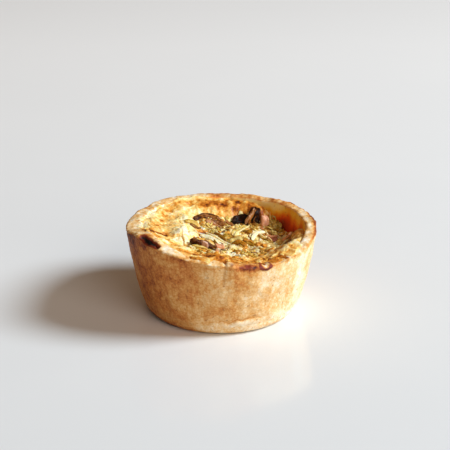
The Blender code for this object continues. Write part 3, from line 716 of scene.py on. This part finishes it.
def makeFillingFinish():
    finish, shader = newFinish("bakedEggCustard", roughness=0.42, specular=0.32, soft=0.22, softDepth=1.6)
    where = places(finish)
    fine = grain(where, 0.8, 11, 3)
    middle = grain(where, 2, 12, 2)
    tone = addShare(mark(finish, "toastAndPaintedLight"), fine, 0.5)
    tone = addShare(tone, middle, 0.34)
    colour = ramp(tone, (
        (0, 255, 248, 224), (1, 58, 20, 0), (0.16, 251, 236, 194), (0.32, 247, 216, 144),
        (0.46, 240, 188, 102), (0.6, 222, 148, 54), (0.74, 186, 104, 18), (0.88, 122, 54, 2)))
    green = ramp(tone, (
        (0, 250, 240, 190), (1, 60, 28, 2), (0.2, 236, 216, 144), (0.4, 206, 172, 84),
        (0.6, 176, 126, 22), (0.8, 122, 70, 0)))
    share = addShare(mark(finish, "herb"), grain(where, 1.3, 13, 1), 0.8)
    share = compute("MULTIPLY", between(share, 0.35, 0.75), 0.75)
    colour = blendColour(share, colour, green)
    connect(shader, "Base Color", colour)
    wet = grain(where, 1.7, 14, 1)
    connect(shader, "Roughness", compute("MULTIPLY_ADD", wet, 0.5, 0.2))
    height = addShare(compute("MULTIPLY", fine, 0.7), grain(where, 0.4, 15, 1), 0.5)
    relief(shader, height, 0.4, 0.5)
    return finish


def chopped(name, cuts, food, node="", rows=18, sides=14, box=0.8, blunt=3, rough=0.18, roughSize=1.1,
            groove=0, cup=0):
    # each cut: x, y of three points, width, thickness, lift, tone, roll in degrees;
    # cross-section: across = c^box * width / 2, up = s^box * thickness / 2, both shrunk at
    # the ends by (1 - |2t - 1|^blunt)^(1 / blunt), rolled, then set on the filling's top
    finish, slotName = food
    cuts = np.vstack(cuts)
    start, bend, end = (cuts[:, None, k:k + 2] for k in (0, 2, 4))
    wide, thick, lift, tone, roll = (cuts[:, k, None, None] for k in range(6, 11))
    share = 0.5 - 0.5 * np.cos(np.pi * (np.arange(rows) + 0.5) / rows)
    line, along = pathThrough(start, bend, end, np.broadcast_to(share, (len(cuts), rows)))
    across = sideways(along)[:, :, None]
    line, share = line[:, :, None], share[None, :, None]
    turn = np.linspace(0, 2 * np.pi, sides, endpoint=False)[None, None, :]
    c, s = (np.sign(v) * np.abs(v) ** box for v in (np.cos(turn), np.sin(turn)))
    ends = (1 - np.abs(2 * share - 1) ** blunt) ** (1 / blunt)
    ridge = 1 + groove * np.cos(7 * turn + 3 * share + cuts[:, 0, None, None])
    over = c * wide / 2 * ends * ridge
    up = s * thick / 2 * ends * ridge + cup * (c ** 2 - 0.5) * ends
    roll = np.radians(roll)
    over, up = over * np.cos(roll) - up * np.sin(roll), over * np.sin(roll) + up * np.cos(roll)
    core = withHeight(line + across * over[..., None], up) + cuts[:, None, None, :1] * 3
    grow = 1 + layered(core, ((roughSize, rough), (roughSize / 2, rough / 2)), 301)
    plan = line + across * (over * grow)[..., None]
    height = fillingTop(plan) + lift + thick * 0.5 + up * grow
    rings = withHeight(plan, height)
    tips = np.stack([rings[:, 0].mean(axis=1), rings[:, -1].mean(axis=1)], axis=1)
    length = np.linalg.norm(end - start, axis=-1)[..., None]
    over = c * wide + cuts[:, 1, None, None] * 5
    marks = dict(tone=tone, across=over, along=share * length, top=0.5 + 0.5 * s)
    return addPiece(name, rings, tips, marks, finish, node)


foods = dict(
    cookedMushroom=dict(
        slot="mushroom", roughness=0.45, specular=0.18, soft=0.05, fibre=0.55, mottle=0.8, film=0.4,
        # the light lilac-grey end is used for the painted glint on the back slices: painted highlight
        stops=((0, 12, 3, 0), (1, 208, 168, 146), (0.25, 66, 26, 0), (0.45, 120, 66, 4),
               (0.62, 152, 90, 28), (0.8, 178, 124, 80))),
    friedMushroom=dict(
        slot="mushroom", roughness=0.45, specular=0.22, soft=0.1, fibre=0.4, mottle=0.5,
        stops=((0, 72, 30, 0), (1, 234, 184, 108), (0.3, 130, 80, 0), (0.5, 166, 108, 10),
               (0.7, 206, 132, 36))),
    smokedHam=dict(
        slot="ham", roughness=0.45, specular=0.3, soft=0.15, fibre=0.4, mottle=0.5,
        stops=((0, 112, 40, 10), (1, 248, 208, 180), (0.3, 160, 88, 38), (0.55, 204, 136, 86),
               (0.8, 230, 170, 138))),
    softOnion=dict(
        slot="onion", roughness=0.38, specular=0.35, soft=0.3, softDepth=2, fibre=0.4, mottle=0.4,
        stops=((0, 146, 90, 16), (1, 255, 248, 224), (0.3, 202, 152, 72), (0.6, 238, 204, 136),
               (0.8, 250, 232, 186))),
    softLeek=dict(
        slot="leek", roughness=0.42, specular=0.28, soft=0.2, fibre=0.5, mottle=0.55,
        stops=((0, 62, 26, 0), (1, 252, 236, 188), (0.25, 124, 72, 0), (0.45, 162, 118, 18),
               (0.65, 202, 162, 66), (0.82, 234, 208, 130))),
    eggCurd=dict(
        slot="filling", roughness=0.45, specular=0.28, soft=0.25, fibre=0.2, mottle=0.6,
        stops=((0, 102, 38, 0), (1, 254, 240, 202), (0.2, 168, 92, 10), (0.4, 212, 136, 34),
               (0.6, 238, 182, 82), (0.8, 250, 218, 150))),
)


def makeChoppedFinish(name):
    # tone mark + fibres drawn along the cut + mottling, through a ramp; egg clings low on the sides
    f = foods[name]
    finish, shader = newFinish(name, f["roughness"], f["specular"], f["soft"], f.get("softDepth", 1.5))
    where = places(finish)
    across = compute("MULTIPLY", mark(finish, "across"), 2.2)
    along = compute("MULTIPLY", mark(finish, "along"), 0.35)
    lengthwise = addNode("ShaderNodeCombineXYZ", {"X": across, "Y": along}).outputs[0]
    fibres = {"Vector": lengthwise, "Scale": 1, "Detail": 2}
    fibres = addNode("ShaderNodeTexNoise", fibres).outputs["Fac"]
    tone = addShare(mark(finish, "tone"), fibres, f["fibre"])
    tone = addShare(tone, grain(where, 1, 21, 3), f["mottle"])
    fine = grain(where, 0.5, 22, 1)
    colour = ramp(tone, f["stops"])
    clinging = compute("MULTIPLY_ADD", mark(finish, "top"), -0.8, 0.75)
    clinging = addShare(clinging, grain(where, 1.2, 23, 2), 1.4)
    eggy = ramp(fine, ((0.3, 214, 144, 54), (0.7, 252, 228, 166)))
    share = compute("MULTIPLY", between(clinging, 0.45, 0.75), f.get("film", 0.6))
    connect(shader, "Base Color", blendColour(share, colour, eggy))
    relief(shader, addShare(fibres, fine, 0.7), 0.42, 0.7)
    return finish, f["slot"]


def openOdds(spots):
    # anywhere on the open heap but its cracks
    return vegetableShare(spots) * (1 - np.clip(1.6 * patch(spots, creviceShadePlaces), 0, 1))


def fibreOdds(spots):
    # the wiry tuft behind the ham
    return patch(spots, ((23.2, 19.4, 2.2, 5.2, 1.2),))


def bandOdds(spots):
    # the toasted band between the vegetables and the pastry
    degrees, radius, _ = polar(spots)
    inside = radius < insideRadius(33, degrees) - 0.8
    front = swell(degrees, ((-90, 30, 1), (-45, 26, 1)))
    return (1 - vegetableShare(spots)) * inside * smoothStep(22, 26, radius) * front


def scatter(count, seed, length, wide, thick, lift, tone, roll, heading=None, where=openOdds, bend=0.25,
            middle=(0, 0), half=33):
    # random cuts: spots drawn in a square and kept by their odds, each with a bent line;
    # length to roll are ranges to draw from
    draw = np.random.default_rng(seed)
    spots = draw.uniform(-half, half, (count * 30, 2)) + middle
    kept = spots[draw.random(len(spots)) < where(spots)][:count]
    n = len(kept)
    facing = draw.uniform(0, np.pi, n) if heading is None else draw.normal(heading, 0.5, n)
    way = np.stack([np.cos(facing), np.sin(facing)], -1)
    arm = draw.uniform(*length, n)[:, None] / 2 * way
    swing = draw.uniform(-bend, bend, n)[:, None] * 2 * np.linalg.norm(arm, axis=1)[:, None]
    sizes = np.stack([draw.uniform(low, high, n) for low, high in (wide, thick, lift, tone, roll)], -1)
    return np.concatenate([kept - arm, kept + sideways(way) * swing, kept + arm, sizes], -1)


def bundle(path, wide, tall, count, seed, tones, lift, lean):
    # thin slices side by side along a path, the outer ones shorter and lower
    draw = np.random.default_rng(seed)
    ends = np.array(path, float)
    way = (ends[2] - ends[0]) / np.linalg.norm(ends[2] - ends[0])
    spread = ((np.arange(count) + 0.5) / count - 0.5)[:, None, None]
    middle = ends.mean(axis=0)
    spots = middle + (ends - middle) * (1 - 0.9 * spread ** 2) * draw.uniform(0.85, 1.05, (count, 1, 1))
    spots = spots + spread * wide * sideways(way) + draw.uniform(-0.35, 0.35, (count, 3, 2))
    sizes = np.stack([
        wide / count * draw.uniform(1.1, 1.5, count),
        tall * (1 - 1.4 * spread[:, 0, 0] ** 2) * draw.uniform(0.82, 1.08, count),
        np.full(count, lift),
        draw.uniform(*tones, count),
        draw.uniform(-lean, lean, count),
    ], -1)
    return np.concatenate([spots.reshape(count, 6), sizes], -1)


def makeToppings():
    mushroom, fried, ham, onion, leek, egg = (makeChoppedFinish(name) for name in foods)

    # three points, then width, thickness, lift, tone and roll
    chopped("mushroomBack", [
        bundle(((4.4, 22.6), (8.2, 24.2), (12.2, 23.8)), 4.7, 3.1, 4, 501, (0, 0.1), -0.3, 40),
        bundle(((11.8, 24.6), (14.4, 24.6), (17.4, 22.6)), 4.8, 3.7, 4, 503, (0, 0.26), -0.3, 40),
        (4, 21.6, 6.6, 22, 9.4, 21.8, 1.6, 1.7, -0.3, 0.12, 30),
        # these three thin standing slices, light lilac grey, paint the glint on the fold: painted highlight
        (10.2, 21.2, 12, 22.8, 14.2, 26.2, 1.3, 4.4, 0, 0.78, 26),
        (11.8, 21.2, 13.2, 22.8, 15.2, 25.4, 0.8, 3.9, 0, 0.62, 10),
        (14, 21.2, 15, 22.2, 16.2, 24, 0.8, 3, 0, 0.5, -14),
    ], mushroom, "mushroom_back", rows=26, sides=16, groove=0.03, rough=0.36, roughSize=1.3)
    chopped("mushroomMiddle", [
        bundle(((-12.4, 17.8), (-9.8, 19.8), (-6.6, 19.8)), 3.8, 1.7, 5, 511, (0.18, 0.6), -0.5, 50),
        (-9.8, 21.4, -5, 23.2, -0.2, 21.4, 0.9, 1.8, -0.3, 0.24, 34),
        (-9.4, 20.6, -5, 22.4, -0.8, 20.8, 0.8, 1.6, -0.3, 0.5, 40),
        (-8.2, 19.8, -3.4, 21.6, 1.6, 19.6, 1.6, 1.5, -0.3, 0.6, 46),
        (-9, 18.4, -5.2, 19.8, -1, 19.2, 1.4, 1.3, -0.4, 0.5, 50),
        (-4.8, 18.4, -0.8, 19.4, 4, 17.2, 1.3, 1.3, -0.3, 0.46, 40),
        (-7, 16.8, -3.6, 17.6, 0.4, 17, 1.5, 1.2, -0.4, 0.74, 36),
        (-1.2, 16.8, 1.6, 17.4, 4.6, 15.2, 1.2, 1.1, -0.3, 0.4, 40),
        (1.6, 21.8, 3.4, 21.4, 5, 20, 1.6, 1.6, -0.3, 0.7, 20),
    ], mushroom, "mushroom_middle", rows=26, sides=14, box=0.65, rough=0.42, roughSize=1.2, groove=0.05)
    chopped("mushroomFront", [
        bundle(((-13.4, -14.6), (-8, -13.2), (-2.8, -12.8)), 5, 3.1, 4, 521, (0.24, 0.5), -0.2, 36),
        (-8.6, -16.2, -7.2, -15.6, -5.4, -15.6, 2, 3.3, 0, 1, 24),
        # these two thin near-black slivers in front of the slices are painted shade in the crevice there
        (-13.6, -16.4, -11.2, -16.2, -9.2, -16.2, 0.9, 1.1, -0.6, 0.04, 20),
        (-6.2, -15.6, -2.6, -15.2, 1.4, -15, 0.8, 1.1, -0.5, 0.04, 20),
    ], mushroom, "mushroom_front", rows=26, sides=16, box=0.7, rough=0.38, roughSize=1.3)
    chopped("mushroomSide", [
        bundle(((4, -3.8), (7.2, -3.2), (10.3, -4.6)), 2.8, 1.7, 3, 531, (0.44, 0.72), -0.4, 34),
        (9.2, -0.9, 12.1, 0.1, 14.8, -3.2, 1.9, 1.3, -0.1, 0.6, -6),
    ], fried, "mushroom_side", rows=22, sides=14, box=0.65, rough=0.4, roughSize=1.2)
    chopped("mushroomCap", [
        (14, -3.5, 16.6, -2.6, 18.9, -3.5, 3.2, 2.3, -0.2, 0.68, 0),
    ], fried, "mushroom_cap", rows=22, sides=18, rough=0.38, roughSize=1.3)

    chopped("hamUpright", [
        (17.3, 21, 18.9, 21.4, 20.5, 21.9, 2.6, 4.9, -0.2, 0.74, 4),
        (17, 22, 17.7, 22.4, 18.4, 22.8, 1.6, 5.2, 0.1, 0.24, -6),
    ], ham, "ham_cube_1", rows=20, sides=20, box=0.5, blunt=6, rough=0.16)
    chopped("hamFlat", [
        (19.2, 6.4, 21.6, 7.8, 24, 9.4, 2.6, 1.5, -0.2, 0.1, 8),
        (19, 8.2, 21.4, 9.9, 24.2, 11.4, 1.2, 1.3, 0, 0.42, 0),
    ], ham, "ham_cube_2", rows=20, sides=18, box=0.6, blunt=5, rough=0.2)
    chopped("hamFront", [
        (-2.4, -10.2, -0.8, -9.6, 1, -9, 2.2, 2, 0, 0.62, 4),
    ], ham, "ham_cube_3", rows=20, sides=18, box=0.55, blunt=6, rough=0.18)
    chopped("hamRight", [
        (26.6, 6.8, 28, 5.6, 29.6, 4.4, 2.4, 1.6, 0.2, 0.62, -8),
    ], ham, "ham_cube_4", rows=20, sides=18, box=0.6, blunt=5, rough=0.2)

    chopped("onionArc", [
        (13, 1.8, 15.4, 9.6, 19, 13, 2.1, 1.6, 0.2, 0.8, 24),
        (12.2, 4, 13.4, 10.4, 16.4, 14.6, 1.1, 1.2, 0, 0.72, 10),
    ], onion, "onion_slice_1", rows=28, sides=16, groove=0.03, rough=0.12)
    chopped("onionStrands", [
        (-8.4, 4.2, -3.6, -0.2, 2.8, -4.6, 2, 1, 0, 0.76, 10),
        (-6.8, 5.8, -2, 1.6, 4.2, -3.2, 1.3, 0.9, 0.1, 0.72, -8),
        (-8.6, 1.2, -4.6, -3.4, 1.4, -7.4, 1.6, 0.9, 0, 0.8, 16),
        (-9, -1.4, -6.1, -3.2, -3, -5.8, 2.4, 1, -0.1, 0.78, 6),
    ], onion, "onion_slice_2", rows=28, sides=14, rough=0.16)
    chopped("onionClear", [
        (18.4, 1.2, 21.8, 1.4, 24.6, 4.4, 2.6, 0.9, 0, 0.42, 6),
        (18.8, -1.6, 21.8, -3, 25, -1, 1.6, 0.8, 0, 0.54, -6),
    ], onion, "onion_slice_3", rows=26, sides=14, cup=0.25, rough=0.14)

    chopped("leekLong", [
        (12.2, 21.4, 8.2, 12.4, 5.6, 4.2, 1.5, 0.9, 0.1, 0.84, 10),
        (10.6, 21, 7.2, 13.6, 4.4, 5.6, 0.8, 0.8, 0, 0.66, -10),
    ], leek, "leek_strip_1", rows=30, sides=12, groove=0.06, rough=0.14)
    chopped("leekDark", [
        (-3.2, 5, -0.6, 3.4, 1.9, 0.6, 1.3, 1, 0.3, 0.28, 20),
        (0.6, 3.6, 2.6, 4.2, 4.4, 3.8, 1.8, 0.9, -0.1, 0.5, 0),
    ], leek, "leek_strip_2", rows=24, sides=12, rough=0.16)
    chopped("leekChunk", [
        (-15.6, 9.8, -13, 12, -10, 12.2, 2.8, 1.3, 0, 0.62, 8),
        (-13.4, 8.4, -11.4, 9.4, -8.8, 9.8, 1.8, 1.2, 0.1, 0.28, 0),
    ], leek, "leek_strip_3", rows=24, sides=16, groove=0.05, rough=0.18)
    chopped("leekFibres", [
        (20.8, 25, 21.4, 20.2, 22, 14.2, 0.8, 1, 0.1, 0.74, 20),
        (22.4, 24.4, 23.4, 19.6, 22.6, 14.4, 0.7, 1.1, 0.4, 0.64, -20),
        (23.6, 23.6, 24.4, 19.4, 24.8, 15.4, 0.7, 1, 0.3, 0.88, 10),
        (20.6, 16.6, 22, 18.6, 24.6, 19.4, 0.6, 0.8, 1, 0.7, 0),
        scatter(34, 441, (3, 7), (0.5, 0.9), (0.5, 0.8), (-0.1, 1.5), (0.35, 0.85), (-40, 40),
                1.9, fibreOdds, 0.4, (23, 19.4), 6.5),
        scatter(24, 443, (2, 5), (0.5, 0.8), (0.5, 0.8), (0, 1.6), (0.3, 0.8), (-40, 40),
                0.4, fibreOdds, 0.5, (23, 19.4), 6.5),
    ], leek, "leek_strip_4", rows=16, sides=8, box=0.7, blunt=5, rough=0.45, roughSize=1.3)
    chopped("leekRight", [
        (26.6, 1.4, 28.2, -1.2, 28.6, -5, 2, 1, -0.1, 0.24, 10),
        (25.2, 1.8, 26.6, -1.2, 27.2, -4.6, 0.9, 0.8, -0.1, 0.5, 0),
    ], leek, "leek_strip_5", rows=24, sides=14, groove=0.05, rough=0.18)
    print("placed toppings made")

    turns = np.radians([[200, 245, 290], [290, 335, 380], [380, 425, 470]])
    curls = np.stack([18.1 + 1.9 * np.cos(turns), 9.4 + 3.4 * np.sin(turns)], -1).reshape(3, 6)
    curls = np.hstack([curls, np.tile([0.8, 1, 0.2, 0.62, 0], (3, 1))])
    chopped("onionShreds", [
        curls,
        (3.6, -12.4, 5.9, -10.2, 8.6, -10.8, 2, 1.2, 0, 0.66, 10),
        (1, 17.6, 2.4, 18.8, 3.8, 19.8, 1.2, 0.9, 0.1, 0.6, 0),
        scatter(34, 411, (2.5, 6.5), (0.9, 2.4), (0.5, 0.8), (-0.5, 0), (0.45, 0.95), (-24, 24), -0.9),
    ], onion, rows=12, sides=9, box=0.6, blunt=7, rough=0.5, roughSize=1.5)
    chopped("leekShreds", [
        (10.2, -2.8, 12.2, -2.4, 14.4, -4, 1.8, 1, 0.1, 0.4, 0),
        (-12.4, -19, -9, -19.4, -5.4, -19, 1.2, 0.8, 0.1, 0.72, 0),
        (-5.4, -17.8, -1.4, -18.2, 3, -17.4, 1.4, 0.8, 0.1, 0.62, 0),
        (3.2, -1.4, 5.8, -0.4, 8.8, -1.4, 2.3, 1, 0.5, 0.78, 0),
        scatter(44, 421, (3, 7.5), (0.5, 1.2), (0.4, 0.7), (-0.4, 0.2), (0.3, 0.95), (-40, 40), -0.8),
        scatter(54, 423, (1.6, 4.2), (1, 2.6), (0.4, 0.7), (-0.4, 0), (0.2, 0.8), (-30, 30)),
    ], leek, rows=11, sides=8, box=0.6, blunt=7, rough=0.55, roughSize=1.4)
    chopped("mushroomBits", [
        (12.4, 11.4, 12.4, 9.6, 11.8, 7.6, 2.2, 1.4, 0, 0.42, 0),
        scatter(30, 431, (1.2, 3.6), (0.8, 1.8), (0.5, 1), (-0.5, 0), (0.2, 0.75), (-50, 50)),
    ], fried, rows=10, sides=9, box=0.65, blunt=6, rough=0.6, roughSize=1.3)
    chopped("hamBits", [
        scatter(8, 441, (1.4, 2.8), (0.9, 1.6), (0.8, 1.2), (-0.6, -0.2), (0.25, 0.6), (-20, 20)),
    ], ham, rows=8, sides=10, box=0.6, blunt=5, rough=0.4, roughSize=1.5)
    chopped("eggCurds", [
        (19.4, -13, 20.6, -12.4, 21.9, -12.2, 1.8, 1.4, -0.2, 0.4, 0),
        (15.2, -17, 16.2, -16.6, 17.4, -16.8, 1.6, 1.2, -0.2, 0.42, 0),
        scatter(84, 453, (1.8, 4.4), (1.4, 3.2), (0.8, 1.4), (-0.9, -0.4), (0.4, 0.88), (-20, 20)),
    ], egg, rows=9, sides=9, box=0.75, rough=0.7, roughSize=1.4)
    chopped("eggCrumbs", [
        scatter(130, 471, (0.7, 2), (0.6, 1.5), (0.4, 0.7), (-0.3, 0), (0.25, 0.85), (-40, 40)),
    ], egg, rows=4, sides=6, box=0.7, blunt=5, rough=0.6, roughSize=1.1)
    chopped("leekCrumbs", [
        scatter(110, 473, (0.9, 2.8), (0.4, 1), (0.3, 0.5), (-0.2, 0.15), (0.2, 0.85), (-40, 40)),
    ], leek, rows=4, sides=6, box=0.7, blunt=5, rough=0.6, roughSize=1.1)
    chopped("toastedCrumbs", [
        scatter(90, 461, (0.8, 2.2), (0.7, 1.6), (0.4, 0.8), (-0.4, -0.1), (0.35, 0.75), (-16, 16),
                where=bandOdds),
    ], egg, rows=7, sides=8, rough=0.5, roughSize=1.3)
    print("scattered shreds and curds made")


makePastry(makePastryFinish())
print("pastry made")
makeFilling(makeFillingFinish())
print("filling made")
makeToppings()


studio = dict(
    # floorNear to floorFar is painted light: the floor is coloured paler towards the back, standing in for
    # how the light falls off
    floorSize=12, floorNear=(221, 222, 222), floorFar=(253, 252, 250),
    lamps=dict(
        window=dict(direction=(-4, 37), away=4, size=1.52, power=232, colour=(0.8, 0.91, 1)),
        room=dict(direction=(-58, 28), away=4, size=2.9, power=64, colour=(1, 0.93, 0.84)),
    ),
    roomLight=0.18, roomColour=(1, 0.68, 0.46),
    pitch=22, aim=(1.52, 0, 36.1), away=589.5, lens=111.5,
)


def makeFloor():
    half = studio["floorSize"] / 2
    mesh = bpy.data.meshes.new("floor")
    corners = [(-half, -half, 0), (half, -half, 0), (half, half, 0), (-half, half, 0)]
    mesh.from_pydata(corners, [], [(0, 1, 2, 3)])
    finish, shader = newFinish("paleFloor", roughness=0.14, specular=0.5)
    # the colour runs from floorNear at the front to floorFar at the back: painted light
    away = addNode("ShaderNodeSeparateXYZ", {0: places(finish)}).outputs["Y"]
    away = compute("MULTIPLY_ADD", away, 1.6, 0.3)
    away = addShare(away, grain(places(finish), 60, 31), 0.1)
    shade = ramp(away, ((0, *studio["floorNear"]), (1, *studio["floorFar"])))
    connect(shader, "Base Color", shade)
    mesh.materials.append(finish)
    floor = addObject("floor", mesh)


def addLamp(name, direction, away, size, power, colour):
    # an area lamp away from the quiche at (compass, height) degrees, facing its middle
    compass, height = (math.radians(v) for v in direction)
    flat = math.cos(height)
    toLamp = Vector((math.cos(compass) * flat, math.sin(compass) * flat, math.sin(height)))
    lamp = bpy.data.lights.new(name, "AREA")
    lamp.shape = "DISK"
    lamp.size, lamp.energy, lamp.color = size, power, colour
    holder = addObject(name, lamp)
    holder.location = Vector((0, 0, 0.02)) + toLamp * away
    holder.rotation_euler = toLamp.to_track_quat("Z", "Y").to_euler()


def makeStudio():
    makeFloor()
    s = studio
    for name, lamp in s["lamps"].items():
        addLamp(name, **lamp)
    world = bpy.data.worlds.new("room")
    world.use_nodes = True
    glow = world.node_tree.nodes["Background"]
    glow.inputs["Color"].default_value = (*s["roomColour"], 1)
    glow.inputs["Strength"].default_value = s["roomLight"]
    bpy.context.scene.world = world
    bpy.context.scene.view_settings.view_transform = "Standard"

    pitch = math.radians(s["pitch"])
    forward = Vector((0, math.cos(pitch), -math.sin(pitch)))
    lens = bpy.data.cameras.new("camera")
    lens.lens, lens.sensor_width = s["lens"], 36
    camera = addObject("camera", lens)
    camera.location = Vector(s["aim"]) * mm - forward * s["away"] * mm
    camera.rotation_euler = forward.to_track_quat("-Z", "Y").to_euler()
    bpy.context.scene.camera = camera


makeStudio()
print("floor, light and camera set")
